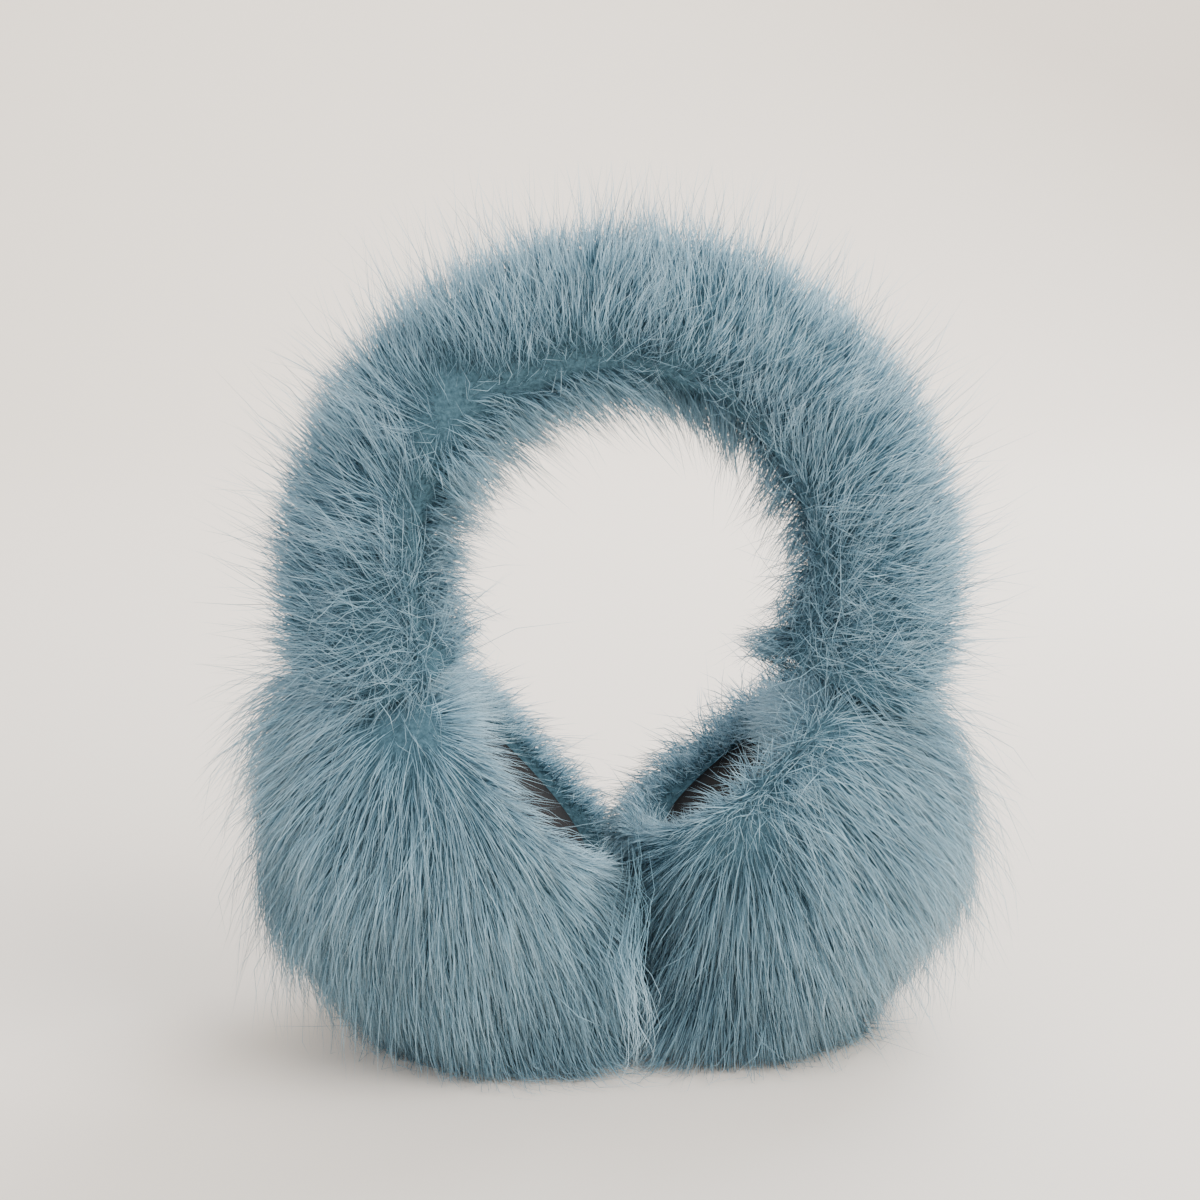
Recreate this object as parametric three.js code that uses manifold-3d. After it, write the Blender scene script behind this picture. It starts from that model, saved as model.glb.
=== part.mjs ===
// Fur earmuffs: a fur-covered ring headband and two ball-like fur ear cups with dark linings.
// The earmuffs lie closed, standing on both cups. Units are millimetres, +Z is up, the photo side is -Y.

import * as THREE from 'three';
import { mergeVertices } from 'three/addons/utils/BufferGeometryUtils.js';
import Module from 'manifold-3d';

const wasm = await Module();
wasm.setup();
const { Manifold, Mesh } = wasm;

// Driving dimensions

const headbandRadius = 73;
const headbandCentreX = 1;
const headbandCentreZ = 137;
const furDepthOuter = 25.5;
const backingRadius = 19;
const lockOverreach = 3;
const headbandEndAngle = 25;
const spineRadius = 7.5;
const seatClearance = 0.3;
const cupContactX = 4;
const cupContactGap = 0.4;
const cupBallRadius = 57;
const cupFaceDistance = 35;
const cupCrestRadius = 38;
const recessRadius = 33;
const recessDepth = 10;
const baseSpreadRadius = 37;
const furThickness = 5;
const liningThickness = 6;
const liningDome = 1.2;
const liningEdgeRound = 1.6;
const restPlaneZ = 0;

// Per-cup shapes, as shares of the named cup sizes, so the two cups differ as they settled on the table.
// tilt is the angle of the ear face above level, in degrees, and inward is the sign of the X direction
// that the ear face looks towards. out and height place the ball's centre from the contact plane and the
// table. radius and dome are the ball, face runs from its centre to the crest of the rim, and the base
// columns are the fur that spreads on the table. The ball and the base are the tips of the fur: the
// locks stand on a core that is furThickness less.

const cupTable = [
  {
    name: 'left',
    inward: 1,
    out: 0.947,
    height: 1.0175,
    tilt: 44,
    radius: 1,
    dome: 0.965,
    face: 1,
    crest: 1,
    recess: 1,
    baseOut: 0.737,
    baseRadiusX: 1,
    baseRadiusY: 0.973,
    whorl: [-0.42, -0.55, 0.72],
    lockCount: 74,
    seed: 11,
  },
  {
    name: 'right',
    inward: -1,
    out: 0.877,
    height: 1,
    tilt: 53,
    radius: 0.895,
    dome: 0.877,
    face: 1.029,
    crest: 0.974,
    recess: 0.97,
    baseOut: 0.6,
    baseRadiusX: 0.92,
    baseRadiusY: 0.92,
    whorl: [-0.25, -0.78, 0.57],
    lockCount: 72,
    seed: 29,
  },
];

// Lock rows of the headband. around is the angle about the tube in degrees: 0 is the ring's outside,
// positive turns to the photo side, 180 is the hole side. flow is how far the lock leans towards the
// outside of the ring: 1 lies along the surface and 0 stands up. Lengths and widths are shares of the
// fur depth. slant leans the lock along the ring. height is the ridge, as a share of the fur depth.

const bandRowTable = [
  { around: 0, count: 18, length: 1.0, width: 0.66, flow: 0.0, slant: 0.1, height: 0.3 },
  { around: 38, count: 16, length: 0.98, width: 0.68, flow: 0.66, slant: 0.1, height: 0.26 },
  { around: -38, count: 16, length: 0.98, width: 0.68, flow: 0.66, slant: -0.1, height: 0.26 },
  { around: 76, count: 14, length: 0.96, width: 0.68, flow: 0.84, slant: 0.16, height: 0.22 },
  { around: -76, count: 14, length: 0.96, width: 0.68, flow: 0.84, slant: -0.16, height: 0.22 },
  { around: 114, count: 12, length: 0.9, width: 0.64, flow: 0.88, slant: 0.22, height: 0.22 },
  { around: -114, count: 12, length: 0.9, width: 0.64, flow: 0.88, slant: -0.22, height: 0.22 },
  { around: 154, count: 9, length: 0.5, width: 0.5, flow: -0.5, slant: 0.5, height: 0.2 },
  { around: -154, count: 9, length: 0.5, width: 0.5, flow: -0.5, slant: -0.5, height: 0.2 },
];

const cups = cupTable.map((row) => ({ ...row, ...cupSizes(row) }));

// Shared form helpers

function unitNoise(seed, index) {
  const value = Math.sin(seed * 127.1 + index * 311.7 + 17.3) * 43758.5453;
  return value - Math.floor(value);
}

function signedNoise(seed, index) {
  return unitNoise(seed, index) * 2 - 1;
}

function toSolid(geometry) {
  const plain = new THREE.BufferGeometry();
  plain.setAttribute('position', geometry.getAttribute('position'));
  if (geometry.index) {
    plain.setIndex(geometry.index);
  }
  const merged = mergeVertices(plain, 1e-4);
  const mesh = new Mesh({
    numProp: 3,
    vertProperties: new Float32Array(merged.getAttribute('position').array),
    triVerts: new Uint32Array(merged.index.array),
  });
  return new Manifold(mesh);
}

function toGeometry(solid) {
  const mesh = solid.getMesh();
  const geometry = new THREE.BufferGeometry();
  const count = mesh.vertProperties.length / mesh.numProp;
  const positions = new Float32Array(count * 3);
  for (let vertex = 0; vertex < count; vertex += 1) {
    for (let axis = 0; axis < 3; axis += 1) {
      positions[vertex * 3 + axis] = mesh.vertProperties[vertex * mesh.numProp + axis];
    }
  }
  geometry.setAttribute('position', new THREE.BufferAttribute(positions, 3));
  geometry.setIndex(Array.from(mesh.triVerts));
  geometry.computeVertexNormals();
  return geometry;
}

function closedSolid(positions, triangles) {
  const geometry = new THREE.BufferGeometry();
  geometry.setAttribute('position', new THREE.BufferAttribute(new Float32Array(positions), 3));
  geometry.setIndex(triangles);
  return toSolid(geometry);
}

// Keeps the largest body of a trimmed solid, so that shaved-off lock tips are dropped.

function largestBody(solid) {
  const bodies = solid.decompose();
  let best = bodies[0];
  for (const body of bodies) {
    if (body.volume() > best.volume()) {
      best = body;
    }
  }
  return best;
}

// One fur lock: a ridge-backed, three-sided tuft that is widest before its middle and ends in a point.
// root lies on the backing, along is its first direction, outward is the backing's normal there, and
// bend is added along the length so that the lock curls or droops.

function furLock(root, along, outward, bend, length, width, depth, sink) {
  const side = new THREE.Vector3().crossVectors(along, outward).normalize();
  const rise = new THREE.Vector3().crossVectors(side, along).normalize();
  const stations = [
    { share: 0, half: 0.42, height: 0.7 },
    { share: 0.45, half: 0.5, height: 1.0 },
  ];
  const positions = [];
  for (const station of stations) {
    const centre = root.clone();
    centre.addScaledVector(outward, -sink * (1 - station.share));
    centre.addScaledVector(along, length * station.share);
    centre.addScaledVector(bend, length * station.share * station.share);
    const left = centre.clone().addScaledVector(side, -width * station.half);
    const right = centre.clone().addScaledVector(side, width * station.half);
    const ridge = centre.clone().addScaledVector(rise, depth * station.height);
    positions.push(left.x, left.y, left.z, right.x, right.y, right.z, ridge.x, ridge.y, ridge.z);
  }
  const tip = root.clone();
  tip.addScaledVector(along, length);
  tip.addScaledVector(bend, length);
  positions.push(tip.x, tip.y, tip.z);
  const triangles = [0, 1, 2];
  for (let edge = 0; edge < 3; edge += 1) {
    const next = (edge + 1) % 3;
    triangles.push(edge, 3 + edge, 3 + next);
    triangles.push(edge, 3 + next, next);
    triangles.push(3 + edge, 6, 3 + next);
  }
  const solid = closedSolid(positions, triangles);
  if (solid.volume() > 0) {
    return solid;
  }
  const flipped = [];
  for (let corner = 0; corner < triangles.length; corner += 3) {
    flipped.push(triangles[corner], triangles[corner + 2], triangles[corner + 1]);
  }
  return closedSolid(positions, flipped);
}

// Headband

function ringPoint(angle) {
  const radians = THREE.MathUtils.degToRad(angle);
  const x = headbandCentreX + headbandRadius * Math.cos(radians);
  const z = headbandCentreZ + headbandRadius * Math.sin(radians);
  return new THREE.Vector3(x, 0, z);
}

function ringOutward(angle) {
  const radians = THREE.MathUtils.degToRad(angle);
  return new THREE.Vector3(Math.cos(radians), 0, Math.sin(radians));
}

// A round tube along the ring between two angles, closed at both ends.

function ringTube(tubeRadius, startAngle, endAngle, stepCount, sideCount) {
  const positions = [];
  const triangles = [];
  for (let step = 0; step <= stepCount; step += 1) {
    const angle = startAngle + ((endAngle - startAngle) * step) / stepCount;
    const centre = ringPoint(angle);
    const outward = ringOutward(angle);
    for (let side = 0; side < sideCount; side += 1) {
      const turn = (side / sideCount) * Math.PI * 2;
      const point = centre.clone().addScaledVector(outward, tubeRadius * Math.cos(turn));
      point.y -= tubeRadius * Math.sin(turn);
      positions.push(point.x, point.y, point.z);
    }
  }
  for (let step = 0; step < stepCount; step += 1) {
    for (let side = 0; side < sideCount; side += 1) {
      const next = (side + 1) % sideCount;
      const a = step * sideCount + side;
      const b = step * sideCount + next;
      const c = a + sideCount;
      const d = b + sideCount;
      triangles.push(a, b, d, a, d, c);
    }
  }
  const last = stepCount * sideCount;
  for (let side = 1; side < sideCount - 1; side += 1) {
    triangles.push(0, side + 1, side);
    triangles.push(last, last + side, last + side + 1);
  }
  const solid = closedSolid(positions, triangles);
  if (solid.volume() > 0) {
    return solid;
  }
  const flipped = [];
  for (let corner = 0; corner < triangles.length; corner += 3) {
    flipped.push(triangles[corner], triangles[corner + 2], triangles[corner + 1]);
  }
  return closedSolid(positions, flipped);
}

function bandLock(row, rowIndex, index) {
  const seed = 100 + rowIndex * 7;
  const shift = 0.5 + 0.25 * signedNoise(seed, index) + 0.5 * (rowIndex % 2);
  const share = Math.min(Math.max((index + shift) / (row.count + 0.5), 0.01), 0.99);
  const angle = -headbandEndAngle + (180 + 2 * headbandEndAngle) * share;
  const around = THREE.MathUtils.degToRad(row.around + 9 * signedNoise(seed + 1, index));
  const ringOut = ringOutward(angle);
  const towardPhoto = new THREE.Vector3(0, -1, 0);
  const normal = ringOut.clone().multiplyScalar(Math.cos(around));
  normal.addScaledVector(towardPhoto, Math.sin(around));
  const towardOutside = ringOut.clone().multiplyScalar(Math.abs(Math.sin(around)));
  towardOutside.addScaledVector(towardPhoto, -Math.cos(around) * Math.sign(row.around));
  const tangent = new THREE.Vector3().crossVectors(towardPhoto, ringOut).normalize();
  const along = normal.clone().multiplyScalar(1 - Math.abs(row.flow) * 0.8);
  along.addScaledVector(towardOutside, row.flow);
  along.addScaledVector(tangent, row.slant + 0.22 * signedNoise(seed + 2, index));
  along.normalize();
  const root = ringPoint(angle).addScaledVector(normal, backingRadius - 1.5);
  const width = furDepthOuter * row.width * (1 + 0.15 * signedNoise(seed + 5, index));
  const bend = normal.clone().multiplyScalar(-0.08 - 0.34 * Math.abs(row.flow));
  bend.z -= 0.1;
  const limit = furDepthOuter + lockOverreach * (0.4 + 0.9 * unitNoise(seed + 4, index));
  let length = furDepthOuter * row.length * (1 + 0.16 * signedNoise(seed + 3, index));
  let tipReach = limit + 1;
  while (tipReach > limit && length > 6) {
    length *= 0.94;
    const tip = root.clone().addScaledVector(along, length).addScaledVector(bend, length);
    const planar = Math.hypot(tip.x - headbandCentreX, tip.z - headbandCentreZ);
    tipReach = Math.hypot(planar - headbandRadius, tip.y);
  }
  return furLock(root, along, normal, bend, length, width, furDepthOuter * row.height, 4);
}

// Ear cups

// The real sizes of one cup, from its row of shares.

function cupSizes(cup) {
  return {
    centreX: cupContactX - cup.inward * cup.out * cupBallRadius,
    centreZ: restPlaneZ + cup.height * cupBallRadius,
    radius: cup.radius * cupBallRadius,
    domeDepth: cup.dome * cupBallRadius,
    faceDistance: cup.face * cupFaceDistance,
    crestRadius: cup.crest * cupCrestRadius,
    recessRadius: cup.recess * recessRadius,
    baseX: cupContactX - cup.inward * cup.baseOut * cupBallRadius,
    baseRadiusX: cup.baseRadiusX * baseSpreadRadius,
    baseRadiusY: cup.baseRadiusY * baseSpreadRadius,
  };
}

function cupFrame(cup) {
  const tilt = THREE.MathUtils.degToRad(cup.tilt);
  const face = new THREE.Vector3(cup.inward * Math.cos(tilt), 0, Math.sin(tilt));
  const up = new THREE.Vector3(-cup.inward * Math.sin(tilt), 0, Math.cos(tilt));
  const centre = new THREE.Vector3(cup.centreX, 0, cup.centreZ);
  return { face, up, centre };
}

function faceProfileSolid(cup, profile, sideCount) {
  const { face, centre } = cupFrame(cup);
  const points = profile.map(([radius, height]) => new THREE.Vector2(radius, height));
  const geometry = new THREE.LatheGeometry(points, sideCount);
  const turn = new THREE.Quaternion().setFromUnitVectors(new THREE.Vector3(0, 1, 0), face);
  geometry.applyQuaternion(turn);
  geometry.translate(centre.x, centre.y, centre.z);
  return toSolid(geometry);
}

// The ball under the fur: a domed back, a rounded shoulder up to the crest of the rim, and the fur
// mass that spreads on the table below. grow makes the same form a little larger all round.

function cupCore(cup, grow) {
  const coreRadius = cup.radius - furThickness;
  const coreDepth = cup.domeDepth - furThickness;
  const profile = [[0, -coreDepth]];
  const domeSteps = 6;
  for (let step = 1; step <= domeSteps; step += 1) {
    const angle = (step / domeSteps) * Math.PI * 0.5;
    profile.push([coreRadius * Math.sin(angle), -coreDepth * Math.cos(angle)]);
  }
  const shoulderSteps = 3;
  for (let step = 1; step <= shoulderSteps; step += 1) {
    const angle = (step / shoulderSteps) * Math.PI * 0.5;
    const radius = cup.crestRadius + (coreRadius - cup.crestRadius) * Math.cos(angle);
    profile.push([radius, cup.faceDistance * Math.sin(angle)]);
  }
  profile.push([0, cup.faceDistance]);
  const ball = faceProfileSolid(cup, profile, 20);
  const baseCorners = [];
  const baseCount = 16;
  for (let corner = 0; corner < baseCount; corner += 1) {
    const angle = (corner / baseCount) * Math.PI * 2;
    const x = cup.baseX + (cup.baseRadiusX - furThickness * 0.5) * Math.cos(angle);
    const y = (cup.baseRadiusY - furThickness * 0.5) * Math.sin(angle);
    baseCorners.push([x, y, restPlaneZ - 1]);
  }
  const core = Manifold.hull([ball, Manifold.hull([...baseCorners, [cup.baseX, 0, restPlaneZ + 4]])]);
  const share = 1 + grow / cup.radius;
  const centreDown = [-cup.centreX, 0, -cup.centreZ];
  const centreBack = [cup.centreX, 0, cup.centreZ];
  return core.translate(centreDown).scale([share, share, share]).translate(centreBack);
}

function cupRecess(cup) {
  const top = cup.faceDistance + 40;
  const floor = cup.faceDistance - recessDepth;
  const flare = (cup.crestRadius - cup.recessRadius) * 0.55;
  const profile = [
    [0, floor],
    [cup.recessRadius, floor],
    [cup.recessRadius, floor + liningThickness],
    [cup.recessRadius + flare, cup.faceDistance],
    [cup.recessRadius + flare, top],
    [0, top],
  ];
  return faceProfileSolid(cup, profile, 32);
}

// Distance from the ball's centre to the fur tips in one direction.

function furReach(cup, direction) {
  const { face } = cupFrame(cup);
  const towardFace = direction.dot(face);
  const sideways = Math.sqrt(Math.max(1 - towardFace * towardFace, 0));
  const depth = towardFace < 0 ? cup.domeDepth : cup.faceDistance + 6;
  return 1 / Math.sqrt((towardFace / depth) ** 2 + (sideways / cup.radius) ** 2);
}

// Locks over the ball lie in a fan that runs away from the whorl and hangs towards the table.

function cupLocks(cup) {
  const { face, centre } = cupFrame(cup);
  const whorl = new THREE.Vector3(...cup.whorl).normalize();
  const locks = [];
  const golden = Math.PI * (3 - Math.sqrt(5));
  for (let index = 0; index < cup.lockCount; index += 1) {
    const height = 1 - (2 * (index + 0.5)) / cup.lockCount;
    const around = golden * index + cup.seed;
    const flat = Math.sqrt(1 - height * height);
    const normal = new THREE.Vector3(flat * Math.cos(around), flat * Math.sin(around), height);
    if (normal.dot(face) > 0.56 || normal.z < -0.66) {
      continue;
    }
    if (normal.x * cup.inward > 0.8) {
      continue;
    }
    const flow = normal.clone().sub(whorl);
    flow.z -= 0.75;
    flow.addScaledVector(normal, -flow.dot(normal));
    flow.normalize();
    flow.x += 0.12 * signedNoise(cup.seed, index);
    flow.y += 0.12 * signedNoise(cup.seed + 1, index);
    const along = flow.clone().addScaledVector(normal, 0.28).normalize();
    const root = centre.clone().addScaledVector(normal, furReach(cup, normal) - furThickness - 2);
    const width = cup.radius * (0.37 + 0.05 * signedNoise(cup.seed + 3, index));
    const bend = normal.clone().multiplyScalar(-0.25);
    bend.z -= 0.1;
    const limit = 1 + (lockOverreach * (0.2 + unitNoise(cup.seed + 4, index))) / cup.radius;
    let length = cup.radius * (0.62 + 0.1 * signedNoise(cup.seed + 2, index));
    let tipShare = limit + 1;
    while (tipShare > limit && length > 12) {
      length *= 0.95;
      const tip = root.clone().addScaledVector(along, length).addScaledVector(bend, length).sub(centre);
      const distance = tip.length();
      tipShare = distance / furReach(cup, tip.divideScalar(distance));
    }
    locks.push(furLock(root, along, normal, bend, length, width, cup.radius * 0.125, 5));
  }
  return locks;
}

// Short locks along the crest of the rim stand out of the ear face and lean away from the recess.

function rimLocks(cup) {
  const { face, up, centre } = cupFrame(cup);
  const across = new THREE.Vector3(0, 1, 0);
  const count = 14;
  const locks = [];
  for (let index = 0; index < count; index += 1) {
    const angle = ((index + 0.3 * signedNoise(cup.seed + 5, index)) / count) * Math.PI * 2;
    const radial = up.clone().multiplyScalar(Math.cos(angle)).addScaledVector(across, Math.sin(angle));
    const inwardSide = Math.cos(angle) < -0.72;
    if (inwardSide) {
      continue;
    }
    const along = face.clone().multiplyScalar(0.62).addScaledVector(radial, 0.7).normalize();
    const outward = face.clone().multiplyScalar(0.7).addScaledVector(radial, -0.6).normalize();
    const root = centre.clone().addScaledVector(face, cup.faceDistance - 5);
    root.addScaledVector(radial, cup.crestRadius + 3.5);
    const length = cup.radius * (0.24 + 0.05 * unitNoise(cup.seed + 6, index));
    const bend = new THREE.Vector3(0, 0, -0.1);
    locks.push(furLock(root, along, outward, bend, length, cup.radius * 0.3, cup.radius * 0.09, 3));
  }
  return locks;
}

// A hanging skirt of locks around the base reaches the table and rests on it.

function baseLocks(cup) {
  const count = 18;
  const locks = [];
  for (let index = 0; index < count; index += 1) {
    const angle = ((index + 0.3 * signedNoise(cup.seed + 8, index)) / count) * Math.PI * 2;
    const normal = new THREE.Vector3(Math.cos(angle), Math.sin(angle), 0);
    if (normal.x * cup.inward > 0.85) {
      continue;
    }
    const top = cup.centreZ * 0.5;
    const x = cup.baseX + (cup.baseRadiusX + 1) * normal.x;
    const y = (cup.baseRadiusY + 1) * normal.y;
    const root = new THREE.Vector3(x, y, top * (1 + 0.16 * signedNoise(cup.seed + 9, index)));
    const along = new THREE.Vector3(normal.x * 0.06, normal.y * 0.06, -1).normalize();
    const length = root.z + 2;
    const bend = new THREE.Vector3(normal.x * 0.1, normal.y * 0.1, 0);
    locks.push(furLock(root, along, normal, bend, length, cup.radius * 0.34, cup.radius * 0.12, 7));
  }
  return locks;
}

function buildCup(cup, spine) {
  const junction = cupCore(cup, 1.6);
  const bandZone = ringTube(furDepthOuter + 4, -headbandEndAngle - 12, 192 + headbandEndAngle, 30, 14);
  const fur = Manifold.union([cupCore(cup, 0), ...cupLocks(cup), ...rimLocks(cup), ...baseLocks(cup)]);
  const solid = fur.subtract(bandZone.subtract(junction)).subtract(cupRecess(cup)).subtract(spine);
  const aboveRest = solid.trimByPlane([0, 0, 1], restPlaneZ);
  const side = cup.inward;
  const offset = -side * cupContactX + cupContactGap / 2;
  return largestBody(aboveRest.trimByPlane([-side, 0, 0], offset));
}

function buildHeadband() {
  const start = -headbandEndAngle;
  const end = 180 + headbandEndAngle;
  const locks = [];
  bandRowTable.forEach((row, rowIndex) => {
    for (let index = 0; index < row.count; index += 1) {
      locks.push(bandLock(row, rowIndex, index));
    }
  });
  const backing = ringTube(backingRadius, start, end, 28, 10);
  let fur = Manifold.union([backing, ...locks]);
  for (const cup of cups) {
    fur = fur.subtract(cupCore(cup, 1.6 + 2 * seatClearance));
  }
  const spine = ringTube(spineRadius, start, end, 34, 12);
  return largestBody(largestBody(fur).add(spine));
}

function buildLining(cup) {
  const floor = cup.faceDistance - recessDepth + seatClearance;
  const edge = cup.recessRadius - seatClearance;
  const profile = [
    [0, floor],
    [edge - liningEdgeRound * 0.5, floor],
    [edge, floor + liningEdgeRound * 0.5],
    [edge, floor + liningThickness - liningEdgeRound],
    [edge - liningEdgeRound, floor + liningThickness - liningEdgeRound * 0.3],
    [edge * 0.8, floor + liningThickness + liningDome * 0.4],
    [edge * 0.4, floor + liningThickness + liningDome * 0.85],
    [0, floor + liningThickness + liningDome],
  ];
  return faceProfileSolid(cup, profile, 30);
}

// Assembly

const furMaterial = new THREE.MeshStandardMaterial({ color: 0x7696a8, roughness: 0.95, metalness: 0 });
const liningMaterial = new THREE.MeshStandardMaterial({ color: 0x3a3a38, roughness: 0.9, metalness: 0 });

const grownSpine = ringTube(
  spineRadius + seatClearance * 1.2,
  -headbandEndAngle - 0.4,
  180 + headbandEndAngle + 0.4,
  34,
  12,
);

const pieces = [{ name: 'headband_fur', solid: buildHeadband(), material: furMaterial }];
for (const cup of cups) {
  pieces.push({ name: `ear_cup_${cup.name}`, solid: buildCup(cup, grownSpine), material: furMaterial });
  pieces.push({ name: `ear_lining_${cup.name}`, solid: buildLining(cup), material: liningMaterial });
}

// The origin is the centre of the footprint box, on the table.

const extent = new THREE.Box3();
for (const piece of pieces) {
  const box = piece.solid.boundingBox();
  extent.expandByPoint(new THREE.Vector3(...box.min));
  extent.expandByPoint(new THREE.Vector3(...box.max));
}
const middle = extent.getCenter(new THREE.Vector3());

const group = new THREE.Group();
for (const piece of pieces) {
  const geometry = toGeometry(piece.solid.translate([-middle.x, -middle.y, -extent.min.z]));
  const mesh = new THREE.Mesh(geometry, piece.material.clone());
  mesh.name = piece.name;
  group.add(mesh);
}

export default group;
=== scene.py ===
"""Fur earmuffs: pelts, combed long pile, dark ear linings, and a plain studio around them."""

import math

import bpy
import numpy as np
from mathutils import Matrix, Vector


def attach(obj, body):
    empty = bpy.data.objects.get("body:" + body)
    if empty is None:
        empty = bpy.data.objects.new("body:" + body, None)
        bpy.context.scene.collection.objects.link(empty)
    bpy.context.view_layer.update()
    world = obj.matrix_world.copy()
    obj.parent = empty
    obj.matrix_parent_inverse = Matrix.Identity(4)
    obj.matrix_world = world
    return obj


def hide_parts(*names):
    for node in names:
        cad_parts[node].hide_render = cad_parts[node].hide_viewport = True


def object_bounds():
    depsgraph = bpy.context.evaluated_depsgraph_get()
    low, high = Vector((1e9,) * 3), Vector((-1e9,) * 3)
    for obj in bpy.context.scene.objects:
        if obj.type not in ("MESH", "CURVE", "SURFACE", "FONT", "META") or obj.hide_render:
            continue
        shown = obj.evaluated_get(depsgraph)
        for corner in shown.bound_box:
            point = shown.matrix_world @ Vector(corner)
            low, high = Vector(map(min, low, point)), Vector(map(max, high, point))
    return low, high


bl_info = {
    "name": "Fur earmuffs",
    "version": (1, 0, 0),
    "blender": (4, 5, 0),
    "location": "View3D > Sidebar > Earmuffs",
    "description": "Dresses the packed earmuffs with combed fur and dark linings",
    "category": "Object",
}

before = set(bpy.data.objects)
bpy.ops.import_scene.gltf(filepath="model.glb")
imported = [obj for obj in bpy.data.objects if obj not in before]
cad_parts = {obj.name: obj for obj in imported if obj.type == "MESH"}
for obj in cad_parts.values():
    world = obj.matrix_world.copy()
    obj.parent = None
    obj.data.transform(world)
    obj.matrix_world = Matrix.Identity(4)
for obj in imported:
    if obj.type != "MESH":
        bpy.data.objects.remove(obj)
CAD_BOX = [list(corner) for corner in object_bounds()]

MM = 0.001
FRONT = np.array([0.0, -1.0, 0.0])


def linear(hex_colour):
    """Turns an sRGB hex colour such as 7696a8 into linear red, green and blue."""
    channels = [int(hex_colour[i : i + 2], 16) / 255 for i in (0, 2, 4)]
    return tuple(c / 12.92 if c <= 0.04045 else ((c + 0.055) / 1.055) ** 2.4 for c in channels)


# ---- the forms that carry the fur, in millimetres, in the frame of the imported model

RING = {"radius": 73.0, "x": 0.63, "z": 137.0, "start": -26.0, "end": 206.0}

# Each cup, from the middle of its ball. tilt is the face's angle above level, dome the depth behind the middle, face
# and crest the rim's height and radius, floor and floor_radius the recess, hood how far it closes at its top and
# sides, front_dip and back_dip how much lower the rim is there, shoulder the bulge of the upper outer side. Low parts
# lean towards the other cup and are base wide at the table, less tuck on the outer side. The pile flows from the line
# whorl, and covers the lining above bare, rim_cut shortens it on the near rim, and nap lengthens it in the recess.
CUPS = {
    "left": {
        "inward": 1,
        "centre": (-50.4, 0.0, 58.0),
        "tilt": 44.0,
        "radius": 48.5,
        "dome": 47.0,
        "face": 32.5,
        "crest": 36.5,
        "floor": 23.0,
        "floor_radius": 33.0,
        "lean": 14.0,
        "bare": 8.0,
        "base": 36.0,
        "tuck": 0.0,
        "shoulder": 0.24,
        "front_dip": 4.0,
        "rim_cut": 0.78,
        "nap": 1.0,
        "back_dip": 2.0,
        "hood": (0.2, 0.12),
        "whorl": ((-66.0, -26.0, 121.0), (-60.0, -30.0, 112.0)),
    },
    "right": {
        "inward": -1,
        "centre": (53.6, 0.0, 57.0),
        "tilt": 53.0,
        "radius": 43.0,
        "dome": 42.0,
        "face": 33.5,
        "crest": 35.5,
        "floor": 22.0,
        "floor_radius": 32.0,
        "lean": -15.0,
        "bare": -16.0,
        "base": 33.0,
        "tuck": 3.5,
        "shoulder": 0.15,
        "front_dip": -0.5,
        "rim_cut": 0.68,
        "nap": 1.35,
        "back_dip": 3.5,
        "hood": (0.45, 0.3),
        "whorl": ((28.5, -36.0, 84.0), (50.5, -32.0, 107.0)),
    },
}

# where the pile parts: angle along the ring, and angle round the tube from its outer side, in degrees
PARTING = ((-26, 158), (25, 158), (55, 148), (90, 130), (115, 121), (133, 104), (155, 128), (175, 143), (206, 143))

# rows of the cups' outline curve, from the dome's pole to the rim, where the wall of the recess starts
DOME_ROWS = 33
SHOULDER_ROWS = 15
WALL_START = DOME_ROWS + SHOULDER_ROWS

# places where the pile is disturbed, as centre in mm, reach in mm, outward flow and tangle
STARS = (
    ((-47.0, -20.0, 187.5), 11.0, 1.0, 0.25),
    ((-65.7, -24.0, 123.0), 17.0, 0.5, 0.75),
    ((58.5, -24.0, 122.6), 20.0, 0.4, 0.75),
    ((57.0, -20.0, 143.0), 14.0, 0.3, 0.4),
)

# how much the lower half of a cup stretches down, and the height in mm of its pressed underside
SAG = 0.42
REST_HEIGHT = 1.5

# how deep in mm a strand starts inside its pelt, and how many strands draw together in a lock
ROOT_DEPTH = 1.5
LOCK_SIZE = 12

# from how far inside the ring's centre line in mm its pile is denser, and how much
INNER_SIDE = 12
INNER_DENSITY = 1.6

# the down's length as a share of the pile's, and a guard hair's width as a share of a strand's
DOWN_LENGTH = 0.66
GUARD_WIDTH = 0.62

# how far fabric may stand past the CAD box: a share of each side, and a margin in mm
PROUD_SHARE = 0.03
PROUD_MARGIN = 9.2


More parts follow.
